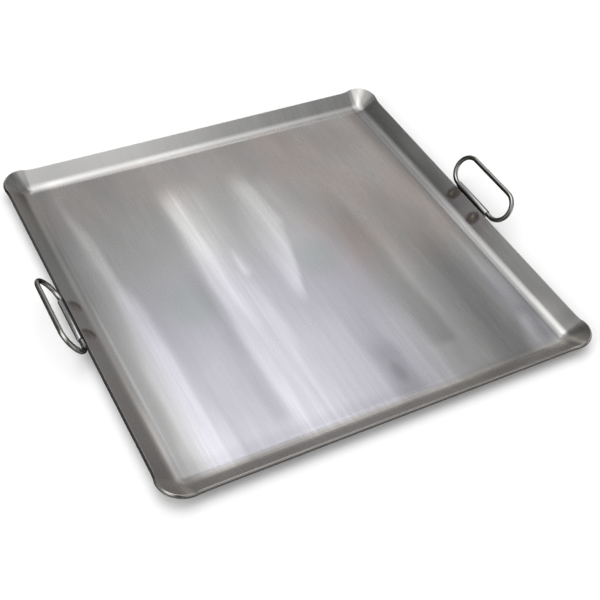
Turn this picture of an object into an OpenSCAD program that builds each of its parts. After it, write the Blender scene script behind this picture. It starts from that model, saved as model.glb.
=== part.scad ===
// Flat top griddle: a square pressed steel plate with a flared rim, and a
// folding ring handle in a rolled strap on each of two opposite sides.
// Millimetres, +Z up. The origin is the centre of the underside, and the
// handles are on the -X (left) and +X (right) sides.

/* [Plate] */
// Width over the two straight rims that carry the handles
plate_w = 584; // [300:1:760]
// Depth over the other two straight rims
plate_d = 584; // [300:1:760]
// Thickness of the steel plate
plate_t = 4.8; // [3:0.1:8]
// Slope of the flared rim above level, in degrees
flare_angle = 33.5; // [24:0.5:55]
// Length of the rim's flat flare, up the slope
flare_len = 21.5; // [18:0.5:40]
// Inside radius of the bend between the floor and the flare
bend_r = 28; // [6:0.5:40]
// Radius of the floor's corners, where the bend starts
floor_corner_r = 1; // [0.5:0.5:30]

/* [Corner ears] */
// How far the ear's crest, at the middle of a corner, stands up the slope past the rim
ear_crest = 6; // [2.5:0.1:8]
// How far the ear's shoulder, where the corner meets a straight wall, stands past the rim
ear_shoulder = 0.9; // [0.5:0.1:2.4]
// Radius of the hollow sweep from the straight rim up to the shoulder
ear_foot_r = 100; // [40:1:160]

/* [Ring handles] */
// Diameter of the wire
wire_d = 6.35; // [4:0.05:9]
// Length of the ring over its wire, along the rim
ring_l = 126; // [90:1:180]
// Width of the ring over its wire, out from the hinge
ring_w = 48; // [36:1:70]
// Tilt of the left ring above level, as drawn
left_tilt = 53; // [-25:1:140]
// Tilt of the right ring above level, as drawn
right_tilt = 58; // [-25:1:140]
// How far the rings are slid forward in their straps, as drawn
ring_slide = 3; // [-3:0.5:3]

/* [Hinge straps] */
// Distance of the strap's middle in front of the rim's middle
strap_ahead = 3.5; // [-20:0.5:20]
// Thickness of the strap's sheet
strap_t = 1.2; // [0.8:0.1:2]
// Radial play of the wire in the rolled barrel
hinge_play = 0.08; // [0.02:0.01:0.1]
// How much of a full turn the barrel is rolled, in degrees
barrel_wrap = 308; // [270:1:312]
// Gap between the barrel and the edge of the plate
barrel_gap = 0.45; // [0.3:0.05:2]
// Gap between each end of the strap and the ring's bend, with the ring centred
strap_end_gap = 4; // [3.5:0.5:12]
// Gap between the strap's tail and the bend of the plate
tail_gap = 4; // [1:0.5:6]
// Radius of the tail's corners
tail_corner_r = 3; // [1:0.5:6]

/* [Spot welds] */
// Distance of a weld from the strap's end
weld_inset = 8; // [6:0.5:16]
// Distance of a weld from the edge of the tail
weld_margin = 7; // [6:0.5:11]
// Diameter of the fused nugget, where the plate and the strap meet
nugget_d = 7; // [5.5:0.5:8]
// Diameter of the nugget's flat ends, inside the two sheets
nugget_flat_d = 4.5; // [3:0.5:5]
// Depth of the nugget into each sheet
nugget_depth = 0.7; // [0.4:0.05:0.7]
// Diameter of the dent that the electrode leaves on each face
dent_d = 9; // [5:0.5:10]
// Depth of the electrode's dent
dent_depth = 0.2; // [0.1:0.05:0.25]

/* [Hidden] */
LEFT = -1;
RIGHT = 1;
FRONT = -1;
REAR = 1;

// Facets of the preview's curves; each of them is built as a true arc.
bend_fn = 100;
corner_fn = 72;
foot_fn = 120;
wire_fn = 26;
loop_fn = 48;
weld_fn = 48;
dent_fn = 48;

// Plate: the bend starts this far inside the rim's outer arris
bend_outer_r = bend_r + plate_t;
flare_inset = bend_outer_r * sin(flare_angle) + flare_len * cos(flare_angle);
corner_x = plate_w / 2 - flare_inset - floor_corner_r;
corner_y = plate_d / 2 - flare_inset - floor_corner_r;

// Outer arris of the rim: the edge between the flare's underside and its cut edge
rim_x = plate_w / 2;
rim_z = bend_outer_r * (1 - cos(flare_angle)) + flare_len * sin(flare_angle);

// Ear: at the corner, a cone that is square to the flare trims the rim. It passes
// the crest and both shoulders, so its axis stands further out than the corner's.
rim_corner_r = floor_corner_r + flare_inset;
shoulder_out = rim_corner_r + ear_shoulder * cos(flare_angle);
crest_out = rim_corner_r + ear_crest / cos(flare_angle);
shoulder_drop = ear_shoulder * sin(flare_angle) * tan(flare_angle);
trim_reach = crest_out - shoulder_drop;
trim_shift = (pow(trim_reach, 2) - pow(shoulder_out, 2)) / (2 * trim_reach - sqrt(2) * shoulder_out);
trim_r = crest_out - trim_shift;
// The corner's stock runs past the crest by this much before it is trimmed
trim_stock = 3;

// The foot arc crosses the straight rim this deep, and not with a bare touch, so
// that the kernel finds one clear point
foot_cross = 0.02;
foot_l = sqrt(pow(ear_foot_r, 2) - pow(ear_foot_r - foot_cross - ear_shoulder, 2));
// The ear's slab starts this far below the straight rim
ear_root = 10;

// Ring: centreline sizes
wire_r = wire_d / 2;
loop_w = ring_w - wire_d;
loop_straight = ring_l - ring_w;

// Barrel, measured in the rim's own frame: out along the slope and square to it
barrel_r = wire_r + hinge_play;
barrel_out = barrel_gap + barrel_r + strap_t;
hinge_x = rim_x + barrel_out * cos(flare_angle) - barrel_r * sin(flare_angle);
hinge_z = rim_z + barrel_out * sin(flare_angle) + barrel_r * cos(flare_angle);

// Strap and welds
strap_l = loop_straight - 2 * strap_end_gap;
tail_l = flare_len - tail_gap;
weld_down = tail_l - weld_margin;
weld_y = strap_l / 2 - weld_inset;

// Radius of a spherical cap with a given width and depth
function cap_r(width, depth) = (width * width / 4 + depth * depth) / (2 * depth);

// Draws its children, made for the right side, on the side asked for
module on_side(side) {
    mirror([side == LEFT ? 1 : 0, 0, 0]) children();
}

// The right rim's own frame: +X up the slope from the outer arris, +Y along
// the rim, +Z square to the flare and towards its inner face. The centres of
// the corners at its two ends are this far out.
module at_rim(out) {
    translate([out, 0, 0])
        translate([floor_corner_r, 0, bend_outer_r])
            rotate([0, -flare_angle, 0])
                translate([flare_len, 0, -bend_outer_r])
                    children();
}

// Slice of a ring, from straight down round to the slope of the flare
module bend_section() {
    intersection() {
        difference() {
            circle(bend_outer_r, $fn = bend_fn);
            circle(bend_r, $fn = bend_fn);
        }
        translate([0, -bend_outer_r]) square(bend_outer_r);
        rotate(flare_angle) translate([-bend_outer_r, -bend_outer_r]) square(bend_outer_r);
    }
}

// Section through floor, bend and flare; X runs outwards from a corner's centre
module wall_section(slope_l) {
    square([floor_corner_r, plate_t]);
    translate([floor_corner_r, bend_outer_r]) {
        bend_section();
        rotate(flare_angle) translate([0, -bend_outer_r]) square([slope_l, plate_t]);
    }
}

// Outline of the ear on one straight rim: X up the slope from the rim, and Y
// along the rim, back from the shoulder at 0
module ear_outline() {
    difference() {
        translate([-ear_root, -foot_l]) square([ear_root + ear_shoulder, foot_l]);
        translate([ear_foot_r - foot_cross, -foot_l]) circle(ear_foot_r, $fn = foot_fn);
    }
}

// Half of the straight wall on +X, from the middle of its length to the corner,
// with its half of the ear; the corner's centre is at [out, along]
module half_wall(out, along) {
    translate([out, along, 0])
        rotate([90, 0, 0])
            linear_extrude(height = along) wall_section(flare_len);
    at_rim(out)
        translate([0, along, 0]) linear_extrude(height = plate_t) ear_outline();
}

// Cone that trims the corner's rim square to the flare
module ear_trim() {
    below = 1;
    above = 12;
    slope = tan(flare_angle);
    translate([trim_shift / sqrt(2), trim_shift / sqrt(2), -below])
        cylinder(
            h = rim_z + below + above,
            r1 = trim_r + (rim_z + below) * slope,
            r2 = trim_r - above * slope,
            $fn = corner_fn
        );
}

// A quarter of the plate, on +X and +Y; its corner is a cone with the ear's crest
module plate_quarter() {
    cube([corner_x, corner_y, plate_t]);
    half_wall(corner_x, corner_y);
    mirror([1, -1, 0]) half_wall(corner_y, corner_x);
    translate([corner_x, corner_y, 0])
        intersection() {
            rotate_extrude(angle = 90, $fn = corner_fn)
                wall_section(flare_len + ear_crest + trim_stock);
            ear_trim();
        }
}

// Dent of an electrode's round tip, pressed down into the plane z = 0
module dent_cut() {
    tip_r = cap_r(dent_d, dent_depth);
    translate([0, 0, tip_r - dent_depth]) sphere(tip_r, $fn = dent_fn);
}

// Nugget of remelted steel, a bevelled disc, half in the plate and half in the strap
module nugget_solid() {
    rotate_extrude($fn = weld_fn)
        polygon([
            [0, -nugget_depth],
            [nugget_flat_d / 2, -nugget_depth],
            [nugget_d / 2, 0],
            [nugget_flat_d / 2, nugget_depth],
            [0, nugget_depth]
        ]);
}

// The right-hand strap's own frame: the rim's, at the strap's middle
module at_strap() {
    at_rim(corner_x) translate([0, -strap_ahead, 0]) children();
}

// Places its children at one spot weld of the right-hand strap
module at_weld(end) {
    at_strap() translate([-weld_down, end * weld_y, 0]) children();
}

module griddle_plate() {
    color("darkgray")
        difference() {
            for (across = [0, 1], along = [0, 1])
                mirror([across, 0, 0]) mirror([0, along, 0]) plate_quarter();
            for (side = [LEFT, RIGHT], end = [FRONT, REAR])
                on_side(side) at_weld(end) {
                    nugget_solid();
                    translate([0, 0, plate_t]) dent_cut();
                }
        }
}

// Section through the strap: the barrel round the wire, and the flat tail
// that lies against the flare's underside
module strap_section() {
    reach = 3 * barrel_r;
    translate([barrel_out, barrel_r])
        difference() {
            circle(barrel_r + strap_t, $fn = wire_fn);
            circle(barrel_r, $fn = wire_fn);
            // the part of the turn that the barrel leaves open
            polygon([
                [0, 0],
                [0, -reach],
                [-reach, -reach],
                [reach * cos(barrel_wrap - 90), reach * sin(barrel_wrap - 90)]
            ]);
        }
    translate([-tail_l, -strap_t]) square([tail_l + barrel_out, strap_t]);
}

// Outline of the flattened strap, with round corners at the end of its tail
module strap_outline() {
    inner_l = strap_l - 2 * tail_corner_r;
    total_l = tail_l + barrel_out + barrel_r + strap_t;
    translate([tail_corner_r - tail_l, -strap_l / 2]) square([total_l - tail_corner_r, strap_l]);
    translate([-tail_l, -inner_l / 2]) square([total_l, inner_l]);
    for (end = [FRONT, REAR])
        translate([tail_corner_r - tail_l, end * inner_l / 2]) circle(tail_corner_r, $fn = wire_fn);
}

module strap() {
    barrel_top = 2 * barrel_r + strap_t;
    color("silver")
        difference() {
            at_strap()
                intersection() {
                    rotate([90, 0, 0])
                        linear_extrude(height = strap_l, center = true) strap_section();
                    translate([0, 0, -strap_t])
                        linear_extrude(height = strap_t + barrel_top) strap_outline();
                }
            for (end = [FRONT, REAR])
                at_weld(end) {
                    nugget_solid();
                    translate([0, 0, -strap_t]) mirror([0, 0, 1]) dent_cut();
                }
        }
}

// Closed wire loop, drawn with its hinge side in the strap's barrel
module ring(tilt) {
    color("gainsboro")
        translate([hinge_x, -strap_ahead - ring_slide, hinge_z])
            rotate([0, -tilt, 0]) {
                for (side_x = [0, loop_w])
                    translate([side_x, 0, 0])
                        rotate([90, 0, 0])
                            cylinder(h = loop_straight, r = wire_r, center = true, $fn = wire_fn);
                for (end = [0, 1])
                    mirror([0, end, 0])
                        translate([loop_w / 2, loop_straight / 2, 0])
                            rotate_extrude(angle = 180, $fn = loop_fn)
                                translate([loop_w / 2, 0]) circle(wire_r, $fn = wire_fn);
            }
}

module spot_weld(end) {
    color("dimgray") at_weld(end) nugget_solid();
}

module strap_left() {
    on_side(LEFT) strap();
}

module strap_right() {
    on_side(RIGHT) strap();
}

module ring_left() {
    on_side(LEFT) ring(left_tilt);
}

module ring_right() {
    on_side(RIGHT) ring(right_tilt);
}

module weld_left_front() {
    on_side(LEFT) spot_weld(FRONT);
}

module weld_left_rear() {
    on_side(LEFT) spot_weld(REAR);
}

module weld_right_front() {
    on_side(RIGHT) spot_weld(FRONT);
}

module weld_right_rear() {
    on_side(RIGHT) spot_weld(REAR);
}

griddle_plate();
strap_left();
strap_right();
ring_left();
ring_right();
weld_left_front();
weld_left_rear();
weld_right_front();
weld_right_rear();
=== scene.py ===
import math

import bmesh
import bpy
from mathutils import Matrix, Vector
from mathutils.bvhtree import BVHTree


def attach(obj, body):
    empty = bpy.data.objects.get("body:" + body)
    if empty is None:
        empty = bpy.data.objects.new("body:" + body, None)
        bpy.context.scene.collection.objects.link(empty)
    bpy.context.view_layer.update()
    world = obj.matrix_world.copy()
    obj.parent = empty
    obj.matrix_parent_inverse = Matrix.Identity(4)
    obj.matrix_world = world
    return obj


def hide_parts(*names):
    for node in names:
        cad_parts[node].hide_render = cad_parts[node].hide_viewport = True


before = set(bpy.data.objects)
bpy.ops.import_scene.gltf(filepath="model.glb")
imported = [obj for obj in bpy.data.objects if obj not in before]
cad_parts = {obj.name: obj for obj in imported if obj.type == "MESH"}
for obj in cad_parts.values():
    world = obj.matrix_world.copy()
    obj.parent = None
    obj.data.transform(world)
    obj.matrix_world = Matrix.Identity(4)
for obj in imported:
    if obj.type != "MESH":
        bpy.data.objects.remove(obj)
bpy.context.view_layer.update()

# the only pixel coordinates: where the photograph shows these things, in its 600 x 600 frame
frameSize = (600, 600)
imagePoints = {
    "plateLeftX": 4,
    "plateRightX": 592,
    "plateTopY": 88.5,
    "plateBottomY": 499.5,
    "rightRingRightX": 513.5,
    "rightRingTopY": 156.2,
    "leftRingLeftX": 33.3,
    "leftRingBottomY": 353.3,
    "rightRearWeld": (453.8, 192.9),
    "rightFrontWeld": (472.7, 217.9),
    "leftRearWeld": (75.0, 306.8),
    "leftFrontWeld": (89.0, 334.5),
    "smudge": (399.5, 371.8),
    "stainMiddle": (337.2, 208.2),
    "stainRight": (376.9, 199.3),
    "stainCorner": (333.5, 139.5),
    "greyMiddle": (315.8, 256.5),
    "greyLeft": (188.0, 304.4),
}

# the camera, in metres and degrees: it stands to the left of the griddle's front and looks down
camera = {
    "aim": (-0.0230, -0.0819, 0.0212),
    "distance": 1.357,
    "azimuth": -32.58,
    "elevation": 45.34,
    "roll": 6.58,
    "lens": 64.88,
    "sensor": 36.0,
    "farClip": 50,
}


def makeCamera(spec):
    turn = math.radians(spec["azimuth"])
    lift = math.radians(spec["elevation"])
    roll = math.radians(spec["roll"])
    back = Vector((math.sin(turn) * math.cos(lift), -math.cos(turn) * math.cos(lift), math.sin(lift)))
    right = Vector((math.cos(turn), math.sin(turn), 0))
    up = back.cross(right)
    rolledRight = right * math.cos(roll) + up * math.sin(roll)
    rolledUp = up * math.cos(roll) - right * math.sin(roll)
    data = bpy.data.cameras.new("photoCamera")
    data.sensor_fit = "AUTO"
    data.sensor_width = spec["sensor"]
    data.lens = spec["lens"]
    data.dof.use_dof = False
    data.clip_end = spec["farClip"]
    eye = bpy.data.objects.new("photoCamera", data)
    axes = Matrix((rolledRight, rolledUp, back)).transposed().to_4x4()
    eye.matrix_world = Matrix.Translation(Vector(spec["aim"]) + back * spec["distance"]) @ axes
    bpy.context.scene.collection.objects.link(eye)
    bpy.context.scene.camera = eye
    return eye


eye = makeCamera(camera)
print("camera is set")

# the plate's visible skin: the CAD plate with rounded arrises and the four electrode dents, in metres
plateShape = {
    "half": 0.292,
    "thickness": 0.0048,
    "flareAngle": 33.5,
    "flareLength": 0.0215,
    "bendRadius": 0.028,
    "floorCorner": 0.001,
    "earCrest": 0.006,
    "earShoulder": 0.0009,
    "earFoot": 0.100,
    "footCross": 0.00002,
    "arris": 0.0007,
    "dentPlaces": (-0.0305, 0.0235),
    "dentDown": 0.0105,
    "dentRadius": 0.0045,
    "dentDepth": 0.0002,
    "coarseStep": 0.008,
    "fineStep": 0.0009,
    "fineReach": 0.006,
    "footStep": 0.002,
    "footMarks": 8,
    "closestShare": 0.6,
    "cornerSteps": 36,
    "bendSteps": 12,
    "flareSteps": 20,
    "arrisSteps": 3,
    "cutSteps": 2,
    "backSteps": 4,
    "holdEdge": 0.0002,
}


def earRise(spec, reach, swing):
    # how far the trimmed corner stands up the slope past the rim, at this angle round the corner
    lift = math.radians(spec["flareAngle"])
    slant = math.sin(lift) * math.tan(lift)
    shoulderOut = reach + spec["earShoulder"] * math.cos(lift)
    crestOut = reach + spec["earCrest"] / math.cos(lift)
    trimReach = crestOut - spec["earShoulder"] * slant
    shift = (trimReach**2 - shoulderOut**2) / (2 * trimReach - math.sqrt(2) * shoulderOut)
    trimRadius = crestOut - shift
    toward = shift / math.sqrt(2) * (math.cos(swing) + math.sin(swing))
    square = math.cos(lift) ** 2 - slant**2
    linear = 2 * (reach - toward) * math.cos(lift) + 2 * trimRadius * slant
    rest = reach**2 - 2 * toward * reach + shift**2 - trimRadius**2
    return (math.sqrt(linear**2 - 4 * square * rest) - linear) / (2 * square)


def footRise(spec, behind):
    # the hollow sweep that lifts the straight rim to the ear's shoulder, this far behind the shoulder
    radius = spec["earFoot"]
    level = radius - spec["footCross"]
    length = math.sqrt(radius**2 - (level - spec["earShoulder"]) ** 2)
    if behind >= length:
        return 0.0
    return max(0.0, level - math.sqrt(radius**2 - (length - behind) ** 2))


def arc(center, radius, first, last, steps):
    # angles are measured from straight down, in radians
    turns = [first + (last - first) * step / steps for step in range(steps + 1)]
    return [(center[0] + radius * math.sin(turn), center[1] - radius * math.cos(turn)) for turn in turns]


def run(start, end, steps, hold):
    # points between two places, with one held close to each end so that the shading stays crisp
    gap = (end[0] - start[0], end[1] - start[1])
    near = hold / math.hypot(*gap)
    shares = [near] + [step / steps for step in range(1, steps)] + [1 - near]
    return [(start[0] + gap[0] * share, start[1] + gap[1] * share) for share in shares]


def plateSection(spec, rise):
    # from the floor's corner out over the inner face, round the rim and back under the outer face
    lift = math.radians(spec["flareAngle"])
    square = math.radians(90)
    inner = spec["bendRadius"]
    outer = inner + spec["thickness"]
    hub = (spec["floorCorner"], outer)
    small = spec["arris"]
    hold = spec["holdEdge"]

    def onFlare(distance, radius):
        out = hub[0] + radius * math.sin(lift) + distance * math.cos(lift)
        up = hub[1] - radius * math.cos(lift) + distance * math.sin(lift)
        return out, up

    top = arc(hub, inner, 0, lift, spec["bendSteps"])
    upperArris = onFlare(spec["flareLength"] + rise - small, inner + small)
    lowerArris = onFlare(spec["flareLength"] + rise - small, outer - small)
    over = arc(upperArris, small, lift + 2 * square, lift + square, spec["arrisSteps"])
    below = arc(lowerArris, small, lift + square, lift, spec["arrisSteps"])
    under = arc(hub, outer, lift, 0, spec["bendSteps"])
    slope = run(top[-1], over[0], spec["flareSteps"], hold)
    cut = run(over[-1], below[0], spec["cutSteps"], hold)
    back = run(below[-1], under[0], spec["backSteps"], hold)
    # shearing leaves a smooth band below the inner arris, and a torn one from the middle of the cut down
    band = len(top + slope + over) - 2
    torn = band + 2 + spec["cutSteps"] // 2
    zones = {1: range(band, torn), 2: range(torn, len(top + slope + over + cut + below) - 1)}
    return top + slope + over + cut + below + back + under, zones


def plateMarks(spec, corner):
    # where sections stand along a straight side: closer together at the dents and the ears' feet
    marks = {-corner, corner}
    count = round(2 * corner / spec["coarseStep"])
    marks.update(-corner + 2 * corner * step / count for step in range(count + 1))
    for place in spec["dentPlaces"]:
        steps = round(spec["fineReach"] / spec["fineStep"])
        marks.update(place + spec["fineStep"] * step for step in range(-steps, steps + 1))
    for step in range(1, spec["footMarks"] + 1):
        marks.update((corner - spec["footStep"] * step, spec["footStep"] * step - corner))
    ordered = [-corner]
    for mark in sorted(marks):
        if mark - ordered[-1] > spec["fineStep"] * spec["closestShare"]:
            ordered.append(mark)
    ordered[-1] = corner
    return ordered


def dentDrop(spec, along, down):
    # the shallow bowl that a round electrode tip leaves in the flare
    deepest = 0.0
    for place in spec["dentPlaces"]:
        away = math.hypot(along - place, down - spec["dentDown"]) / spec["dentRadius"]
        deepest = max(deepest, spec["dentDepth"] * (1 - away**2))
    return deepest


def makePlate(spec):
    lift = math.radians(spec["flareAngle"])
    outer = spec["bendRadius"] + spec["thickness"]
    reach = spec["floorCorner"] + outer * math.sin(lift) + spec["flareLength"] * math.cos(lift)
    corner = spec["half"] - reach
    marks = plateMarks(spec, corner)
    last = len(marks) - 1
    stations = []
    for side in range(4):
        way = Vector((math.cos(math.radians(90 * side)), math.sin(math.radians(90 * side))))
        along = Vector((-way.y, way.x))
        for step in range(last + 1):
            # two sides run backwards through the marks, so that the walk goes once round the plate
            place = step if side in (0, 3) else last - step
            key = {0: (last, place), 1: (place, last), 2: (0, place), 3: (place, 0)}[side]
            mark = marks[place]
            rise = footRise(spec, corner - abs(mark))
            stations.append((key, way, rise, mark if side in (0, 2) else None))
        for step in range(1, spec["cornerSteps"]):
            swing = math.radians(90) * step / spec["cornerSteps"]
            turned = way * math.cos(swing) + along * math.sin(swing)
            stations.append((key, turned, earRise(spec, reach, swing), None))
    mesh = bmesh.new()
    keys = dict.fromkeys(station[0] for station in stations)
    floors = []
    for level in (spec["thickness"], 0.0):
        floors.append({key: mesh.verts.new((marks[key[0]], marks[key[1]], level)) for key in keys})
    rims = []
    slopeNormal = math.sin(lift), math.cos(lift)
    for key, way, rise, mark in stations:
        section, zones = plateSection(spec, rise)
        ring = []
        for spot, (out, up) in enumerate(section):
            if mark is not None and spec["bendSteps"] < spot < zones[1][0]:
                down = (reach - spec["thickness"] * math.sin(lift) - out) / math.cos(lift)
                drop = dentDrop(spec, mark, down)
                out += drop * slopeNormal[0]
                up -= drop * slopeNormal[1]
            x = marks[key[0]] + way.x * out
            y = marks[key[1]] + way.y * out
            ring.append(mesh.verts.new((x, y, up)))
        rims.append((key, ring))
    for low, floor in enumerate(floors):
        # a fan of triangles from the middle, because the floor is flat
        border = list(floor.values())
        middle = mesh.verts.new((0, 0, border[0].co.z))
        for vertex, nextVertex in zip(border, border[1:] + border[:1]):
            fan = [middle, vertex, nextVertex]
            mesh.faces.new(fan[::-1] if low else fan)
    for index, (key, ring) in enumerate(rims):
        nextKey, nextRing = rims[(index + 1) % len(rims)]
        for spot in range(len(ring) - 1):
            face = mesh.faces.new((ring[spot], ring[spot + 1], nextRing[spot + 1], nextRing[spot]))
            face.material_index = next((slot for slot, spots in zones.items() if spot in spots), 0)
        for floor, spot, flip in ((floors[0], 0, False), (floors[1], -1, True)):
            border = [floor[key], ring[spot], nextRing[spot]]
            if nextKey != key:
                border.append(floor[nextKey])
            mesh.faces.new(border[::-1] if flip else border)
    for face in mesh.faces:
        face.smooth = True
    data = bpy.data.meshes.new("griddlePlate")
    mesh.to_mesh(data)
    mesh.free()
    plate = bpy.data.objects.new("griddlePlate", data)
    bpy.context.scene.collection.objects.link(plate)
    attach(plate, "griddle")
    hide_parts("griddle_plate")
    return plate


plate = makePlate(plateShape)
print("plate has", len(plate.data.polygons), "faces")

# places tried along a ray that misses, from half the camera's distance to one and a half
raySteps = 200


def surfaceOf(pieces):
    corners = []
    polygons = []
    for piece in pieces:
        first = len(corners)
        corners += [piece.matrix_world @ vertex.co for vertex in piece.data.vertices]
        polygons += [[first + index for index in polygon.vertices] for polygon in piece.data.polygons]
    return BVHTree.FromPolygons(corners, polygons)


def placeFromPhoto(point, surface):
    # where a ray through the image point meets the steel, or the steel nearest to the ray
    width, height = frameSize
    long = max(width, height)
    data = eye.data
    across = point[0] - width / 2 + data.shift_x * long
    upward = height / 2 - point[1] + data.shift_y * long
    local = Vector((across, upward, -long * data.lens / data.sensor_width))
    start = eye.matrix_world.translation
    ray = (eye.matrix_world.to_3x3() @ local).normalized()
    hit = surface.ray_cast(start, ray)[0]
    if hit is not None:
        return hit
    shares = [0.5 + step / raySteps for step in range(raySteps)]
    tries = [start + ray * camera["distance"] * share for share in shares]
    found = [surface.find_nearest(place) for place in tries]
    return min(found, key=lambda near: near[3])[0]


def showsAt(place):
    # the image point at which a place in the scene shows
    width, height = frameSize
    long = max(width, height)
    data = eye.data
    local = eye.matrix_world.inverted() @ Vector(place)
    scale = long * data.lens / data.sensor_width / -local.z
    return (
        width / 2 - data.shift_x * long + local.x * scale,
        height / 2 + data.shift_y * long - local.y * scale,
    )


bpy.context.view_layer.update()
plateSurface = surfaceOf([plate])
stainNames = ("smudge", "stainMiddle", "stainRight", "stainCorner", "greyMiddle", "greyLeft")
stainPlaces = {name: placeFromPhoto(imagePoints[name], plateSurface) for name in stainNames}
weldNames = ("rightRearWeld", "rightFrontWeld", "leftRearWeld", "leftFrontWeld")
weldPlaces = {name: placeFromPhoto(imagePoints[name], plateSurface) for name in weldNames}
print("stains and heat marks are placed")


# helpers that lay out shader nodes
def put(tree, kind, sockets=None, **settings):
    node = tree.nodes.new(kind)
    for name, value in settings.items():
        setattr(node, name, value)
    for name, value in (sockets or {}).items():
        if isinstance(value, bpy.types.NodeSocket):
            tree.links.new(value, node.inputs[name])
        else:
            node.inputs[name].default_value = value
    return node


def calc(tree, operation, first, second=0.0, third=0.0):
    return put(tree, "ShaderNodeMath", {0: first, 1: second, 2: third}, operation=operation).outputs[0]


def fade(tree, value, start, end, low=0.0, high=1.0, smooth=True):
    # low where the value is at start, and high where it is at end
    form = "SMOOTHSTEP" if smooth else "LINEAR"
    sockets = {"Value": value, "From Min": start, "From Max": end, "To Min": low, "To Max": high}
    return put(tree, "ShaderNodeMapRange", sockets, interpolation_type=form).outputs[0]


def tint(tree, share, base, color, mode="MIX"):
    node = put(tree, "ShaderNodeMix", data_type="RGBA", blend_type=mode)
    for socket, value in ((node.inputs[0], share), (node.inputs[6], base), (node.inputs[7], color)):
        if isinstance(value, bpy.types.NodeSocket):
            tree.links.new(value, socket)
        elif isinstance(value, (int, float)):
            socket.default_value = value
        else:
            socket.default_value = (*value, 1)
    return node.outputs[2]


def spotAndAxes(tree):
    # the place on the piece in the shared frame, whole and as x, y and z
    spot = put(tree, "ShaderNodeTexCoord").outputs["Object"]
    axes = put(tree, "ShaderNodeSeparateXYZ", {0: spot}).outputs
    return spot, axes[0], axes[1], axes[2]


def spread(tree, x, y, z):
    return put(tree, "ShaderNodeCombineXYZ", {0: x, 1: y, 2: z}).outputs[0]


def stretched(tree, spot, scale):
    return put(tree, "ShaderNodeVectorMath", {0: spot, 1: scale}, operation="MULTIPLY").outputs[0]


def clouds(tree, where, scale, detail=2.0, roughness=0.5):
    sockets = {"Vector": where, "Scale": scale, "Detail": detail, "Roughness": roughness}
    return put(tree, "ShaderNodeTexNoise", sockets).outputs["Fac"]


def brightened(tree, base, level):
    # a colour times a level
    grey = spread(tree, level, level, level)
    return put(tree, "ShaderNodeVectorMath", {0: base, 1: grey}, operation="MULTIPLY").outputs[0]


def facing(tree, side):
    # how squarely the surface faces that way, in the piece's own frame, from -1 to 1
    normal = put(tree, "ShaderNodeTexCoord").outputs["Normal"]
    aim = tuple(Vector(side).normalized())
    return put(tree, "ShaderNodeVectorMath", {0: normal, 1: aim}, operation="DOT_PRODUCT").outputs["Value"]


def metal(name):
    material = bpy.data.materials.new(name)
    material.use_nodes = True
    shader = material.node_tree.nodes["Principled BSDF"]
    shader.inputs["Metallic"].default_value = 1
    return material, material.node_tree, shader


def varied(tree, noise, swing, middle):
    # the middle value, moved up and down by the noise
    return calc(tree, "MULTIPLY_ADD", calc(tree, "SUBTRACT", noise, 0.5), swing, middle)


def addBump(tree, shader, height, strength, depth):
    bump = put(tree, "ShaderNodeBump", {"Height": height, "Strength": strength, "Distance": depth})
    tree.links.new(bump.outputs[0], shader.inputs["Normal"])


def dress(node, *materials):
    # clearing the slots would also forget which face has which material
    if node.data.materials:
        node.data.materials.clear()
    for material in materials:
        node.data.materials.append(material)


# the plate: brushed front to back, with painted reflections in soft streaks, grey patches and faint heat
# stains; metres
plateFinish = {
    "steel": (0.385, 0.382, 0.38),
    "roughness": 0.27,
    "brushRoughness": 0.07,
    "fieldRoughness": 0.14,
    "wander": {"scale": (45, 8, 8), "reach": 0.012},
    "grain": {
        "hairs": {"scale": (1500, 40, 40), "depth": 0.025},
        "brush": {"scale": (420, 9, 9), "depth": 0.035},
        "bands": {"scale": (110, 3.5, 3.5), "depth": 0.07},
        "fields": {"scale": (24, 6, 6), "depth": 0.08},
    },
    "streakBreakup": (0.3, 0.7, 0.82, 1.18),
    "streakSoftness": 1.25,
    "patchScale": 14,
    "patches": (0.36, 0.60, 0.35, 1.0),
    "hairShare": 0.5,
    "bump": 0.06,
    "bumpDepth": 0.0002,
}
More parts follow.
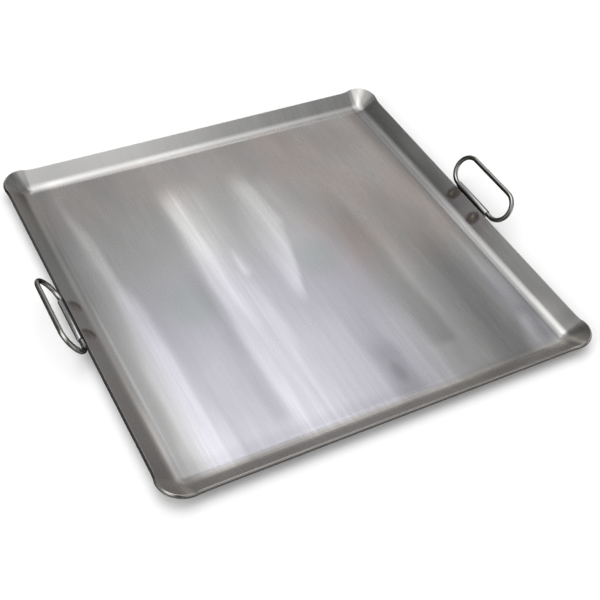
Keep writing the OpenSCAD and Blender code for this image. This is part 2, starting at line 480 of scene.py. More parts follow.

# painted reflections in the steel's colour, as streaks, and a few dark ones of painted shade: where the
# middle of each is at its rear and front end, its half width at both, how soft its left and right edges
# are, how far it takes to fade in and out, and how much it lightens
shortestFade = 0.0001
paintedReflectionStreaks = {
    "leftLine": {
        "rear": (-0.233, 0.27), "front": (-0.215, -0.02),
        "half": (0.004, 0.009), "soft": (0.8, 0.8),
        "fade": (0.12, 0.06), "gain": 0.32,
    },
    "leftWedge": {
        "rear": (-0.215, 0.06), "front": (-0.214, -0.27),
        "half": (0.010, 0.024), "soft": (0.6, 0.6),
        "fade": (0.08, 0), "gain": 0.42,
    },
    "ridgeCore": {
        "rear": (-0.091, 0.208), "front": (-0.089, -0.11),
        "half": (0.009, 0.013), "soft": (0.8, 1.0),
        "fade": (0.06, 0.19), "gain": 0.43,
    },
    "ridgeHaze": {
        "rear": (-0.078, 0.22), "front": (-0.082, -0.03),
        "half": (0.027, 0.027), "soft": (0.4, 0.8),
        "fade": (0.06, 0.13), "gain": 0.36,
    },
    "ridgeTail": {
        "rear": (-0.08, 0.06), "front": (-0.078, -0.27),
        "half": (0.031, 0.031), "soft": (0.35, 0.25),
        "fade": (0.1, 0), "gain": 0.21,
    },
    "slantRear": {
        "rear": (0.012, 0.21), "front": (0.013, 0.08),
        "half": (0.008, 0.019), "soft": (0.9, 0.35),
        "fade": (0.06, 0), "gain": 0.42,
    },
    "slantFront": {
        "rear": (0.013, 0.08), "front": (-0.011, -0.085),
        "half": (0.019, 0.006), "soft": (0.9, 0.35),
        "fade": (0, 0.05), "gain": 0.42,
    },
    "slantHaze": {
        "rear": (0.036, 0.19), "front": (0.04, -0.05),
        "half": (0.022, 0.028), "soft": (0.6, 0.7),
        "fade": (0.05, 0.1), "gain": 0.18,
    },
    "smallWedge": {
        "rear": (-0.053, 0.065), "front": (-0.053, -0.01),
        "half": (0.005, 0.005), "soft": (0.8, 0.8),
        "fade": (0.04, 0.02), "gain": 0.3,
    },
    "frontPale": {
        "rear": (-0.014, -0.06), "front": (-0.014, -0.27),
        "half": (0.032, 0.032), "soft": (0.4, 0.15),
        "fade": (0.1, 0), "gain": 0.13,
    },
    "frontDarkStreak": {
        "rear": (0.042, -0.155), "front": (0.044, -0.26),
        "half": (0.018, 0.02), "soft": (0.6, 0.4),
        "fade": (0.04, 0), "gain": -0.18,
    },
    "paleRight": {
        "rear": (0.08, -0.08), "front": (0.08, -0.27),
        "half": (0.023, 0.023), "soft": (0.5, 0.3),
        "fade": (0.1, 0), "gain": 0.18,
    },
    "darkBand": {
        "rear": (0.108, 0.12), "front": (0.12, -0.213),
        "half": (0.024, 0.017), "soft": (0.8, 0.3),
        "fade": (0.12, 0.014), "gain": -0.2,
    },
    "lightBand": {
        "rear": (0.148, 0.04), "front": (0.148, -0.26),
        "half": (0.011, 0.012), "soft": (0.6, 0.4),
        "fade": (0.12, 0.02), "gain": 0.06,
    },
    "darkRight": {
        "rear": (0.188, 0.15), "front": (0.192, -0.27),
        "half": (0.034, 0.03), "soft": (0.7, 0.5),
        "fade": (0.28, 0), "gain": -0.31,
    },
    "rightLine": {
        "rear": (0.243, 0), "front": (0.243, -0.205),
        "half": (0.005, 0.006), "soft": (0.9, 0.9),
        "fade": (0.12, 0.03), "gain": 0.25,
    },
    "rightCurl": {
        "rear": (0.243, -0.19), "front": (0.222, -0.265),
        "half": (0.006, 0.01), "soft": (0.9, 0.9),
        "fade": (0.03, 0), "gain": 0.4,
    },
    "leftShade": {
        "rear": (-0.122, 0.08), "front": (-0.124, -0.25),
        "half": (0.01, 0.012), "soft": (0.7, 0.7),
        "fade": (0.12, 0.03), "gain": -0.14,
    },
    "leftRim": {
        "rear": (-0.256, 0.27), "front": (-0.256, -0.27),
        "half": (0.018, 0.01), "soft": (0.5, 0.6),
        "fade": (0, 0), "gain": -0.2,
    },
    "rightRim": {
        "rear": (0.262, 0.264), "front": (0.266, -0.1),
        "half": (0.02, 0.01), "soft": (0.6, 0.5),
        "fade": (0.012, 0.2), "gain": -0.36,
    },
    "leftField": {
        "rear": (-0.16, 0.27), "front": (-0.16, -0.16),
        "half": (0.05, 0.05), "soft": (0.3, 0.3),
        "fade": (0, 0.12), "gain": -0.09,
    },
    "rearField": {
        "rear": (0.08, 0.27), "front": (0.09, -0.1),
        "half": (0.08, 0.07), "soft": (0.4, 0.4),
        "fade": (0, 0.14), "gain": -0.11,
    },
    "frontGlow": {
        "rear": (-0.06, -0.15), "front": (-0.06, -0.27),
        "half": (0.14, 0.14), "soft": (0.4, 0.4),
        "fade": (0.12, 0), "gain": 0.13,
    },
}

# soft boxes where the steel is tinted, or lighter or darker as painted highlights and painted shade on the
# bends,
# flares and rims: from where to where each fades in and out again across (x) and along (y) the plate, in
# metres;
# patchy ones are broken up by clouds
plateTouches = {
    "lilacFloor": {
        "x": (-0.248, -0.205, 0.050, 0.130), "y": (-0.268, -0.255, -0.060, 0.120),
        "tint": (1.005, 1.0, 1.105),
    },
    "lilacRight": {
        "x": (0.215, 0.235, 0.250, 0.262), "y": (-0.262, -0.250, -0.150, -0.080),
        "tint": (1.0, 1.0, 1.06),
    },
    "warmRight": {
        "x": (0.020, 0.110, 0.250, 0.262), "y": (-0.110, 0.010, 0.255, 0.268),
        "tint": (1.10, 1.0, 0.96), "patchy": True,
    },
    "warmRear": {
        "x": (-0.31, -0.30, 0.020, 0.110), "y": (0.130, 0.200, 0.255, 0.268),
        "tint": (1.055, 1.0, 0.975), "patchy": True,
    },
    "oliveRear": {"y": (0.258, 0.270, 0.30, 0.31), "tint": (1.0, 1.0, 0.985)},
    "oliveRight": {"x": (0.258, 0.270, 0.30, 0.31), "tint": (1.0, 1.0, 0.98)},
    "oliveLeft": {"x": (-0.31, -0.30, -0.270, -0.258), "tint": (1.0, 1.0, 0.975)},
    "brownFront": {"y": (-0.31, -0.30, -0.270, -0.258), "tint": (1.05, 1.0, 0.945)},
    "brownLeft": {
        "x": (-0.31, -0.30, -0.270, -0.258), "y": (-0.31, -0.30, -0.120, 0.040),
        "tint": (1.045, 1.0, 0.99),
    },
    "rearBend": {
        "x": (-0.265, -0.255, 0.255, 0.265), "y": (0.2585, 0.2650, 0.2660, 0.2720),
        "gain": 0.22,
    },
    "leftBend": {
        "x": (-0.2720, -0.2660, -0.2650, -0.2585), "y": (-0.265, -0.255, 0.255, 0.265),
        "gain": 0.22,
    },
    "rightBend": {
        "x": (0.2585, 0.2650, 0.2660, 0.2720), "y": (-0.265, -0.255, 0.255, 0.265),
        "gain": 0.22,
    },
    "frontBend": {
        "x": (-0.265, -0.255, 0.255, 0.265), "y": (-0.2780, -0.2700, -0.2640, -0.2585),
        "gain": 0.22,
    },
    "frontBendLeft": {
        "x": (-0.31, -0.30, -0.060, 0.040), "y": (-0.2740, -0.2660, -0.2620, -0.2560),
        "gain": 0.08,
    },
    "frontFloorEdge": {
        "x": (-0.255, -0.235, -0.020, 0.060), "y": (-0.2620, -0.2580, -0.2540, -0.2350),
        "gain": -0.10,
    },
    "frontLeftCorner": {
        "x": (-0.31, -0.30, -0.240, -0.215), "y": (-0.31, -0.30, -0.245, -0.220),
        "gain": -0.07,
    },
    "rearRightTip": {"x": (0.250, 0.256, 0.264, 0.268), "y": (0.250, 0.256, 0.264, 0.268), "gain": -0.25},
    "rearLeftTone": {"x": (-0.31, -0.30, -0.240, -0.120), "y": (0.266, 0.274, 0.30, 0.31), "gain": -0.18},
    "rearRightTone": {"x": (-0.060, 0.060, 0.30, 0.31), "y": (0.266, 0.274, 0.30, 0.31), "gain": -0.08},
    "rearRightBend": {"x": (0.120, 0.200, 0.250, 0.262), "y": (0.256, 0.262, 0.268, 0.274), "gain": -0.12},
    "leftShine": {"x": (-0.270, -0.266, -0.262, -0.258), "y": (-0.31, -0.30, -0.180, 0.020), "gain": 0.35},
    "leftTone": {"x": (-0.31, -0.30, -0.276, -0.270), "gain": -0.20},
    "leftRear": {"x": (-0.31, -0.30, -0.262, -0.256), "y": (0.040, 0.140, 0.260, 0.270), "gain": -0.13},
    "rightInner": {"x": (0.2540, 0.2565, 0.2615, 0.2640), "gain": -0.16},
    "rightLineGap": {"x": (0.2580, 0.2595, 0.2610, 0.2625), "gain": -0.05},
    "rightOuter": {"x": (0.2625, 0.2650, 0.2690, 0.2720), "gain": 0.20},
    "rightBendFront": {"x": (0.254, 0.258, 0.270, 0.274), "y": (-0.31, -0.30, -0.080, 0.0), "gain": -0.12},
    "rightFront": {"x": (0.268, 0.276, 0.30, 0.31), "y": (-0.31, -0.30, -0.200, -0.080), "gain": -0.20},
    "rightBendEnd": {"x": (0.264, 0.269, 0.273, 0.285), "y": (-0.31, -0.30, -0.215, -0.170), "gain": 0.22},
    "rightInnerEnd": {"x": (0.246, 0.252, 0.259, 0.264), "y": (-0.31, -0.30, -0.235, -0.200), "gain": 0.18},
    "rightFlareEnd": {"x": (0.266, 0.274, 0.30, 0.31), "y": (-0.31, -0.30, -0.245, -0.215), "gain": -0.20},
    "frontRight": {"x": (0.222, 0.242, 0.30, 0.31), "y": (-0.280, -0.272, -0.264, -0.242), "gain": 0.20},
    "frontBlend": {
        "x": (-0.262, -0.240, 0.0, 0.080), "y": (-0.2675, -0.2605, -0.2595, -0.2568),
        "gain": 0.31,
    },
    "frontLip": {
        "x": (-0.200, -0.120, 0.100, 0.190), "y": (-0.2760, -0.2725, -0.2690, -0.2650),
        "gain": 0.21,
    },
    "frontRightBend": {
        "x": (0.08, 0.15, 0.235, 0.25), "y": (-0.266, -0.262, -0.259, -0.254),
        "gain": -0.14,
    },
    "leftBlend": {
        "x": (-0.2675, -0.2645, -0.2620, -0.2590), "y": (-0.262, -0.252, -0.215, -0.120),
        "gain": 0.40,
    },
    "leftBendRear": {
        "x": (-0.2665, -0.2620, -0.2570, -0.2520), "y": (-0.02, 0.05, 0.12, 0.25),
        "gain": -0.20,
    },
}

# painted shade and painted highlights on the corner cones, where their tones differ from what the lights
# give smooth cones; the swing is in radians, 0 to the right and positive towards the rear; they set in at
# these distances from the plate's middle lines
cornerStart = (0.262, 0.270)
cornerShades = {
    "rearRight": {"center": (0.258, 0.258), "swing": (0.0, 0.2, 0.60, 1.02), "gain": -0.50},
    "rearRightCrest": {"center": (0.258, 0.258), "swing": (1.0, 1.2, 1.45, 1.57), "gain": -0.18},
    "rearLeft": {"center": (-0.258, 0.258), "swing": (1.60, 1.85, 2.35, 2.75), "gain": 0.85},
    "frontRight": {"center": (0.258, -0.258), "swing": (-1.3, -1.0, -0.5, -0.1), "gain": -0.15},
}

# stains on the floor: half sizes across and along, and how strongly each shows; they fade between these
# shares of the half size
stainFade = (1.0, 0.25)
plateStains = {
    "smudge": {"half": (0.013, 0.026), "color": (0.22, 0.22, 0.24), "share": 0.45},
    "stainMiddle": {"half": (0.020, 0.075), "color": (0.33, 0.29, 0.27), "share": 0.28},
    "stainRight": {"half": (0.026, 0.070), "color": (0.33, 0.29, 0.27), "share": 0.28},
    "stainCorner": {"half": (0.060, 0.060), "color": (0.33, 0.29, 0.27), "share": 0.25},
    "greyMiddle": {"half": (0.045, 0.050), "color": (0.33, 0.355, 0.35), "share": 0.6},
    "greyLeft": {"half": (0.050, 0.060), "color": (0.33, 0.355, 0.35), "share": 0.6},
}

# heat marks round the spot welds: a violet bloom, strongest in front, round a dark ring with a brown core
weldMarks = {
    "radius": 0.0112,
    "ragScale": 160,
    "rag": (0.6, 0.7),
    "core": (0.245, 0.205, 0.160),
    "coreFade": (0.7, 0.1),
    "coreShare": 0.55,
    "edge": (0.120, 0.100, 0.083),
    "edgeFade": (1.1, 0.7),
    "edgeTilt": 0.5,
    "edgeTurn": (-0.4, 0.5),
    "rightShares": (0.75, 0.75),
    "leftShares": (0.25, 0.80),
    "bloom": (0.95, 0.89, 0.93),
    "bloomShift": 0.9,
    "bloomFade": (5.5, 0.6),
    "flareStart": (0.264, 0.272),
}

# the underside keeps its mill scale, blued and browned by the burners
underside = {
    "millScale": (0.15, 0.155, 0.17),
    "burntScale": (0.085, 0.078, 0.072),
    "burntClouds": 9,
    "burntFade": (0.38, 0.62),
    "speckle": 220,
    "speckleSwing": (0.5, 0.75),
    "turn": (-0.1, 0.1),
    "roughness": 0.22,
}


def fadedBetween(tree, value, begin, full, last, end):
    # 0 before the first value and after the last one, and 1 between the middle two
    return calc(tree, "MULTIPLY", fade(tree, value, begin, full), fade(tree, value, end, last))


def lightened(tree, level, share, gain):
    return calc(tree, "MULTIPLY", level, calc(tree, "MULTIPLY_ADD", share, gain, 1.0))


def streakShare(tree, x, y, streak, softness):
    # 0 beside the streak and 1 inside it
    rear, front = streak["rear"], streak["front"]
    near, far = streak["half"]
    along = fade(tree, y, rear[1], front[1], smooth=False)
    middle = calc(tree, "MULTIPLY_ADD", along, front[0] - rear[0], rear[0])
    half = calc(tree, "MULTIPLY_ADD", along, far - near, near)
    offset = calc(tree, "DIVIDE", calc(tree, "SUBTRACT", x, middle), half)
    left, right = (softness * soft for soft in streak["soft"])
    rise, fall = (max(length, shortestFade) for length in streak["fade"])
    across = fadedBetween(tree, offset, -1 - left, -1 + left, 1 - right, 1 + right)
    ends = fadedBetween(tree, y, front[1], front[1] + fall, rear[1] - rise, rear[1])
    return calc(tree, "MULTIPLY", across, ends)


def touchShare(tree, x, y, touch):
    share = 1.0
    for value, axis in ((x, "x"), (y, "y")):
        if axis in touch:
            share = calc(tree, "MULTIPLY", share, fadedBetween(tree, value, *touch[axis]))
    return share


def awayFrom(tree, x, y, center, half):
    # how far from the centre, across and along, in half sizes
    across = calc(tree, "DIVIDE", calc(tree, "SUBTRACT", x, center[0]), half[0])
    along = calc(tree, "DIVIDE", calc(tree, "SUBTRACT", y, center[1]), half[1])
    square = calc(tree, "MULTIPLY_ADD", across, across, calc(tree, "MULTIPLY", along, along))
    return across, along, calc(tree, "SQRT", square)


def heatMarked(tree, spot, x, y, color, spec):
    slope = math.cos(math.radians(plateShape["flareAngle"]))
    ragged = calc(tree, "MULTIPLY_ADD", clouds(tree, spot, spec["ragScale"], detail=3.0), *spec["rag"])
    radius = calc(tree, "MULTIPLY", ragged, spec["radius"])
    onFlare = fade(tree, calc(tree, "ABSOLUTE", x), *spec["flareStart"])
    for center in weldPlaces.values():
        half = (calc(tree, "MULTIPLY", radius, slope), radius)
        across, along, away = awayFrom(tree, x, y, center, half)
        ahead = calc(tree, "ADD", along, spec["bloomShift"])
        trail = calc(tree, "MULTIPLY_ADD", ahead, ahead, calc(tree, "MULTIPLY", across, across))
        bloom = calc(tree, "MULTIPLY", fade(tree, trail, *spec["bloomFade"]), onFlare)
        color = tint(tree, bloom, color, spec["bloom"], "MULTIPLY")
        shares = spec["rightShares"] if center.x > 0 else spec["leftShares"]
        turned = calc(tree, "MULTIPLY_ADD", across, spec["edgeTilt"], along)
        strength = fade(tree, turned, *spec["edgeTurn"], *shares)
        ring = calc(tree, "MULTIPLY", strength, fade(tree, away, *spec["edgeFade"]))
        color = tint(tree, ring, color, spec["edge"])
        color = tint(tree, fade(tree, away, *spec["coreFade"], 0.0, spec["coreShare"]), color, spec["core"])
    return color


def cornerShade(tree, x, y, shade):
    out = calc(tree, "SUBTRACT", x, shade["center"][0])
    back = calc(tree, "SUBTRACT", y, shade["center"][1])
    turned = fadedBetween(tree, calc(tree, "ARCTAN2", back, out), *shade["swing"])
    farthest = calc(tree, "MAXIMUM", calc(tree, "ABSOLUTE", x), calc(tree, "ABSOLUTE", y))
    return calc(tree, "MULTIPLY", turned, fade(tree, farthest, *cornerStart))


def makePlateSteel(spec):
    material, tree, shader = metal("brushedPlateSteel")
    spot, x, y = spotAndAxes(tree)[:3]
    wander = clouds(tree, stretched(tree, spot, spec["wander"]["scale"]), 1.0, detail=1.0)
    bentX = varied(tree, wander, spec["wander"]["reach"], x)
    level = 1.0
    noises = {}
    for name, layer in spec["grain"].items():
        noises[name] = clouds(tree, stretched(tree, spot, layer["scale"]), 1.0, detail=3.0, roughness=0.6)
        swing = calc(tree, "MULTIPLY_ADD", noises[name], 2 * layer["depth"], 1 - layer["depth"])
        level = calc(tree, "MULTIPLY", level, swing)
    breakup = fade(tree, noises["bands"], *spec["streakBreakup"])
    # painted reflections: each streak lightens or darkens the steel's colour
    for streak in paintedReflectionStreaks.values():
        share = streakShare(tree, bentX, y, streak, spec["streakSoftness"])
        level = lightened(tree, level, calc(tree, "MULTIPLY", share, breakup), streak["gain"])
    color = spec["steel"]
    patches = fade(tree, clouds(tree, spot, spec["patchScale"], detail=3.0), *spec["patches"])
    for touch in plateTouches.values():
        share = touchShare(tree, x, y, touch)
        if "patchy" in touch:
            share = calc(tree, "MULTIPLY", share, patches)
        if "tint" in touch:
            color = tint(tree, share, color, touch["tint"], "MULTIPLY")
        else:
            # a touch with a gain is a painted highlight or painted shade
            level = lightened(tree, level, share, touch["gain"])
    # painted shade and painted highlights on the corners
    for shade in cornerShades.values():
        level = lightened(tree, level, cornerShade(tree, x, y, shade), shade["gain"])
    for name, stain in plateStains.items():
        away = awayFrom(tree, bentX, y, stainPlaces[name], stain["half"])[2]
        color = tint(tree, fade(tree, away, *stainFade, 0.0, stain["share"]), color, stain["color"])
    color = heatMarked(tree, spot, x, y, color, weldMarks)
    upward = fade(tree, facing(tree, (0, 0, 1)), *underside["turn"])
    burnt = clouds(tree, spot, underside["burntClouds"], detail=4.0, roughness=0.6)
    burnt = fade(tree, burnt, *underside["burntFade"])
    below = tint(tree, burnt, underside["millScale"], underside["burntScale"])
    speckle = clouds(tree, spot, underside["speckle"], detail=3.0)
    below = brightened(tree, below, calc(tree, "MULTIPLY_ADD", speckle, *underside["speckleSwing"]))
    color = tint(tree, upward, below, brightened(tree, color, level))
    tree.links.new(color, shader.inputs["Base Color"])
    rough = fade(tree, upward, 0.0, 1.0, spec["roughness"] + underside["roughness"], spec["roughness"])
    rough = varied(tree, noises["brush"], spec["brushRoughness"], rough)
    rough = varied(tree, noises["fields"], spec["fieldRoughness"], rough)
    tree.links.new(rough, shader.inputs["Roughness"])
    height = calc(tree, "MULTIPLY_ADD", noises["hairs"], spec["hairShare"], noises["brush"])
    addBump(tree, shader, height, spec["bump"], spec["bumpDepth"])
    return material


# the sheared rim: a smooth band under the inner arris and darker torn steel below it; painted shade
# blackens the left edge
rimFinish = {
    "band": {"steel": (0.31, 0.30, 0.29), "fleck": (0.22, 0.21, 0.20), "roughness": 0.18, "bump": 0.08},
    "torn": {"steel": (0.09, 0.085, 0.08), "fleck": (0.20, 0.19, 0.18), "roughness": 0.50, "bump": 0.35},
    "marks": 900,
    "markStretch": (1, 1, 0.12),
    "fleckFade": (0.45, 0.75),
    "blotch": 60,
    "blotchSwing": (0.4, 0.8),
    # near black: the colour of the painted shade on the left edge
    "scale": (0.018, 0.017, 0.015),
    "paintedShadeReach": (-0.284, -0.2885, 0.0, 0.9),
    "cornerReach": (-0.272, -0.255),
    "roughSwing": 0.2,
    "bumpDepth": 0.0002,
}


def makeRimSteel(name, spec, rim):
    material, tree, shader = metal(name)
    spot, x, y = spotAndAxes(tree)[:3]
    # shear marks run square to the plate's faces
    drag = clouds(tree, stretched(tree, spot, rim["markStretch"]), rim["marks"], detail=3.0, roughness=0.6)
    blotch = clouds(tree, spot, rim["blotch"], detail=3.0)
    color = tint(tree, fade(tree, drag, *rim["fleckFade"]), spec["steel"], spec["fleck"])
    color = brightened(tree, color, calc(tree, "MULTIPLY_ADD", blotch, *rim["blotchSwing"]))
    # painted shade: the left edge is painted near black, fading out at the front corner
    scale = fade(tree, x, *rim["paintedShadeReach"])
    scale = calc(tree, "MULTIPLY", scale, fade(tree, y, *rim["cornerReach"]))
    tree.links.new(tint(tree, scale, color, rim["scale"]), shader.inputs["Base Color"])
    rough = varied(tree, drag, rim["roughSwing"], spec["roughness"])
    tree.links.new(rough, shader.inputs["Roughness"])
    addBump(tree, shader, drag, spec["bump"], rim["bumpDepth"])
    return material


# the drawn wire of the rings: bright, with fine die lines along it; a near-black edge tint darkens its
# edges as painted shade, and near-black painted shade covers the side facing left and down in the ring's
# own frame
wireFinish = {
    "steel": (0.365, 0.357, 0.340),
    "edge": (0.02, 0.02, 0.02),
    "dieLines": (2600, 40, 2600),
    "lineSwing": (0.16, 0.92),
    "rub": 90,
    "rubSwing": (0.3, 0.85),
    "scale": (0.036, 0.033, 0.028),
    "wireShadeSide": (-0.85, -0.20, -0.50),
    "shadeRag": 0.3,
    "paintedShadeReach": (0.15, 0.55, 0.0, 0.85),
    "roughness": 0.20,
    "roughSwing": 0.18,
    "bump": 0.08,
    "bumpDepth": 0.0001,
}


def makeWireSteel(spec):
    material, tree, shader = metal("drawnWireSteel")
    spot = spotAndAxes(tree)[0]
    lines = clouds(tree, stretched(tree, spot, spec["dieLines"]), 1.0)
    rub = clouds(tree, spot, spec["rub"], detail=3.0)
    level = calc(tree, "MULTIPLY_ADD", lines, *spec["lineSwing"])
    level = calc(tree, "MULTIPLY", level, calc(tree, "MULTIPLY_ADD", rub, *spec["rubSwing"]))
    # painted shade: near black on the side facing left and down, broken up by the rub clouds
    shadedSide = calc(tree, "MULTIPLY_ADD", rub, spec["shadeRag"], facing(tree, spec["wireShadeSide"]))
    scale = fade(tree, shadedSide, *spec["paintedShadeReach"])
    color = tint(tree, scale, brightened(tree, spec["steel"], level), spec["scale"])
    tree.links.new(color, shader.inputs["Base Color"])
    rough = varied(tree, rub, spec["roughSwing"], spec["roughness"])
    tree.links.new(rough, shader.inputs["Roughness"])
    # the near-black edge tint is painted shade at the grazing edges
    shader.inputs["Specular Tint"].default_value = (*spec["edge"], 1)
    addBump(tree, shader, lines, spec["bump"], spec["bumpDepth"])
    return material


# the straps: thin rolled sheet, grain along the rim; painted light makes the left strap lighter and both
# lighter towards the rear, and near-black painted shade covers the side facing left and the narrow gap
# beside the left rim
strapFinish = {
    "steel": (0.44, 0.435, 0.43),
    "edge": (0.04, 0.04, 0.04),
    "grain": (900, 20, 900),
    "grainSwing": (0.24, 0.88),
    "blotch": 45,
    "blotchSwing": (0.3, 0.85),
    "leftSide": (0.0, -0.1),
    "leftPaintedLight": 1.4,
    "rearPaintedLight": (-0.045, 0.020, 0.82, 1.22),
    "grime": (0.02, 0.02, 0.02),
    "grimeSide": (-1.0, 0.0, -0.2),
    "grimeReach": (0.56, 0.76, 0.0, 0.9),
    "leftGapShade": (-0.2950, -0.2941, 0.0, 0.9),
    "gapShadeTop": (0.018, 0.021),
    "roughness": 0.30,
    "roughSwing": 0.2,
    "bump": 0.1,
    "bumpDepth": 0.0001,
}


def makeStrapSteel(spec):
    material, tree, shader = metal("rolledStrapSteel")
    spot, x, y, z = spotAndAxes(tree)
    grain = clouds(tree, stretched(tree, spot, spec["grain"]), 1.0, detail=3.0)
    blotch = clouds(tree, spot, spec["blotch"], detail=3.0)
    level = calc(tree, "MULTIPLY_ADD", grain, *spec["grainSwing"])
    level = calc(tree, "MULTIPLY", level, calc(tree, "MULTIPLY_ADD", blotch, *spec["blotchSwing"]))
    # painted light: the left strap lighter, and both lighter towards the rear
    level = calc(tree, "MULTIPLY", level, fade(tree, x, *spec["leftSide"], 1.0, spec["leftPaintedLight"]))
    level = calc(tree, "MULTIPLY", level, fade(tree, y, *spec["rearPaintedLight"], smooth=False))
    # painted shade: near black on the side facing left and in the gap beside the left rim
    grime = fade(tree, facing(tree, spec["grimeSide"]), *spec["grimeReach"])
    gap = calc(tree, "MULTIPLY", fade(tree, x, *spec["leftGapShade"]), fade(tree, x, *spec["leftSide"]))
    gap = calc(tree, "MULTIPLY", gap, fade(tree, z, *spec["gapShadeTop"]))
    grime = calc(tree, "MAXIMUM", grime, gap)
    color = tint(tree, grime, brightened(tree, spec["steel"], level), spec["grime"])
    tree.links.new(color, shader.inputs["Base Color"])
    rough = varied(tree, blotch, spec["roughSwing"], spec["roughness"])
    tree.links.new(rough, shader.inputs["Roughness"])
    # the near-black edge tint is painted shade at the grazing edges
    shader.inputs["Specular Tint"].default_value = (*spec["edge"], 1)
    addBump(tree, shader, grain, spec["bump"], spec["bumpDepth"])
    return material


# the fused nuggets: remelted, dull and dark
nuggetFinish = {
    "steel": (0.33, 0.30, 0.28),
    "scorch": (0.20, 0.18, 0.18),
    "crust": 700,
    "scorchFade": (0.4, 0.65),
    "roughness": 0.5,
    "roughSwing": 0.3,
    "bump": 0.3,
    "bumpDepth": 0.0002,
}


def makeNuggetSteel(spec):
    material, tree, shader = metal("remeltedSteel")
    crust = clouds(tree, spotAndAxes(tree)[0], spec["crust"], detail=4.0, roughness=0.6)
    color = tint(tree, fade(tree, crust, *spec["scorchFade"]), spec["steel"], spec["scorch"])
    tree.links.new(color, shader.inputs["Base Color"])
    rough = varied(tree, crust, spec["roughSwing"], spec["roughness"])
    tree.links.new(rough, shader.inputs["Roughness"])
    addBump(tree, shader, crust, spec["bump"], spec["bumpDepth"])
    return material


plateSteel = makePlateSteel(plateFinish)
rimBandSteel = makeRimSteel("shearBandSteel", rimFinish["band"], rimFinish)
rimTornSteel = makeRimSteel("tornRimSteel", rimFinish["torn"], rimFinish)
wireSteel = makeWireSteel(wireFinish)
strapSteel = makeStrapSteel(strapFinish)
nuggetSteel = makeNuggetSteel(nuggetFinish)
dress(plate, plateSteel, rimBandSteel, rimTornSteel)
for name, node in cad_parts.items():
    if name.startswith("ring"):
        dress(node, wireSteel)
    elif name.startswith("strap"):
        dress(node, strapSteel)
    elif name.startswith("weld"):
        dress(node, nuggetSteel)
print("steel is finished")

# the sheared edges of the straps are rounded a little
strapArris = {
    "radius": 0.00025,
    "segments": 3,
    "sharperThan": 40,
    "seam": 0.00002,
}


def roundArrises(node, spec):
    seam = node.modifiers.new("closeSeams", "WELD")
    seam.merge_threshold = spec["seam"]
    edge = node.modifiers.new("roundArris", "BEVEL")
    edge.width = spec["radius"]
    edge.segments = spec["segments"]
    edge.limit_method = "ANGLE"
    edge.angle_limit = math.radians(spec["sharperThan"])
    edge.harden_normals = True


for name in ("strap_left", "strap_right"):
    roundArrises(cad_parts[name], strapArris)
print("arrises are rounded")

# the studio: pale paper under a dim sky, with a round soft light overhead, a small one behind it and three
# wide panels low down; each light has its axis, two angles in degrees and its strength
studio = {
    "floorSize": 8,
    "floorColor": (0.95, 0.95, 0.95),
    "whiteGlow": 0.03,
    "dim": 0.16,
    "lights": {
        "overhead": {"axis": (-0.07, 0.05, 1.0), "angles": (2, 39), "gain": 2.55},
        "slotLight": {"axis": (0.57, 1.0, 1.37), "angles": (1, 9), "gain": 2.0},
        "rearPanel": {"axis": (0.49, 0.76, 0.43), "angles": (3, 43), "gain": 0.47},
        "frontPanel": {"axis": (0.25, -0.85, 0.42), "angles": (10, 42), "gain": 0.75},
        "leftPanel": {"axis": (-0.85, -0.25, 0.50), "angles": (8, 38), "gain": 2.6},
    },
}


def makeFloor(spec):
    bpy.ops.mesh.primitive_plane_add(size=spec["floorSize"])
    floor = bpy.context.object
    floor.name = "studioFloor"
    material = bpy.data.materials.new("palePaper")
    material.use_nodes = True
    tree = material.node_tree
    tree.nodes.clear()
    paper = put(tree, "ShaderNodeBsdfDiffuse", {"Color": (*spec["floorColor"], 1)}).outputs[0]
    path = put(tree, "ShaderNodeLightPath").outputs
    seen = calc(tree, "MAXIMUM", path["Is Camera Ray"], path["Is Glossy Ray"])
    seen = calc(tree, "MAXIMUM", seen, path["Is Transmission Ray"])
    glow = calc(tree, "MULTIPLY", seen, spec["whiteGlow"])
    white = put(tree, "ShaderNodeEmission", {"Color": (1, 1, 1, 1), "Strength": glow}).outputs[0]
    both = put(tree, "ShaderNodeAddShader", {0: paper, 1: white}).outputs[0]
    put(tree, "ShaderNodeOutputMaterial", {"Surface": both})
    dress(floor, material)


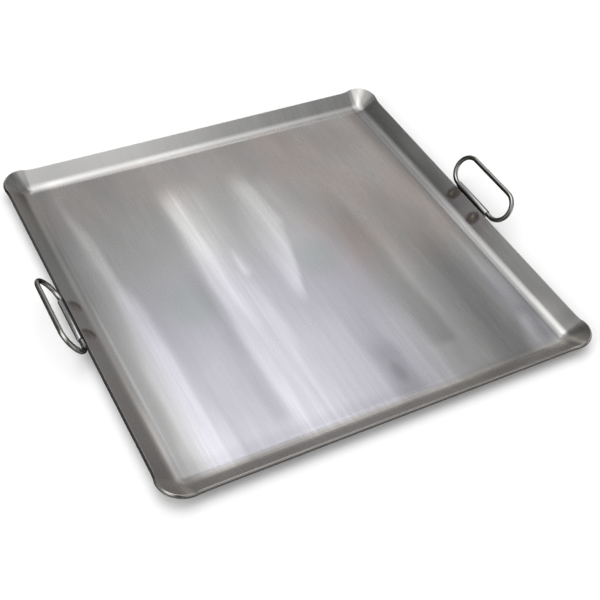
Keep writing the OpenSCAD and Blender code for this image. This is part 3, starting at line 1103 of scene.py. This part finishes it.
def softLight(tree, ray, light):
    # bright inside the first angle from its axis, fading to nothing at the second
    aim = tuple(Vector(light["axis"]).normalized())
    along = put(tree, "ShaderNodeVectorMath", {0: ray, 1: aim}, operation="DOT_PRODUCT").outputs["Value"]
    inside, outside = (math.cos(math.radians(angle)) for angle in light["angles"])
    return fade(tree, along, outside, inside, 0.0, light["gain"])


def makeSky(spec):
    world = bpy.data.worlds.new("studioSky")
    world.use_nodes = True
    tree = world.node_tree
    tree.nodes.clear()
    ray = put(tree, "ShaderNodeTexCoord").outputs["Generated"]
    level = spec["dim"]
    for light in spec["lights"].values():
        level = calc(tree, "ADD", level, softLight(tree, ray, light))
    sky = put(tree, "ShaderNodeBackground", {"Color": (1, 1, 1, 1), "Strength": level}).outputs[0]
    put(tree, "ShaderNodeOutputWorld", {"Surface": sky})
    bpy.context.scene.world = world


makeFloor(studio)
makeSky(studio)
bpy.context.scene.view_settings.view_transform = "Standard"
print("studio is lit")

# a vertex counts as hidden when something stands at least this far in front of it
hiddenGap = 0.0005


def shownEdge(piece, surface, axis, sign):
    # the image place of the piece's outermost vertex that nothing hides
    start = eye.matrix_world.translation
    places = [piece.matrix_world @ vertex.co for vertex in piece.data.vertices]
    places.sort(key=lambda place: sign * showsAt(place)[axis])
    for place in places:
        away = place - start
        hit = surface.ray_cast(start, away.normalized())[3]
        if hit is None or hit > away.length - hiddenGap:
            return showsAt(place)[axis]
    return showsAt(places[0])[axis]


# each edge in the picture: the piece, 0 for x or 1 for y, and 1 for its low end or -1 for its high end
edges = {
    "plateLeftX": (plate, 0, 1),
    "plateRightX": (plate, 0, -1),
    "plateTopY": (plate, 1, 1),
    "plateBottomY": (plate, 1, -1),
    "rightRingRightX": (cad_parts["ring_right"], 0, -1),
    "rightRingTopY": (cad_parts["ring_right"], 1, 1),
    "leftRingLeftX": (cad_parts["ring_left"], 0, 1),
    "leftRingBottomY": (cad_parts["ring_left"], 1, -1),
}
bpy.context.view_layer.update()
shownNames = ("strap_left", "strap_right", "ring_left", "ring_right")
shownSurface = surfaceOf([plate] + [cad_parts[name] for name in shownNames])
for name, (piece, axis, sign) in edges.items():
    shown = shownEdge(piece, shownSurface, axis, sign)
for name, place in {**stainPlaces, **weldPlaces}.items():
    shown = showsAt(place)
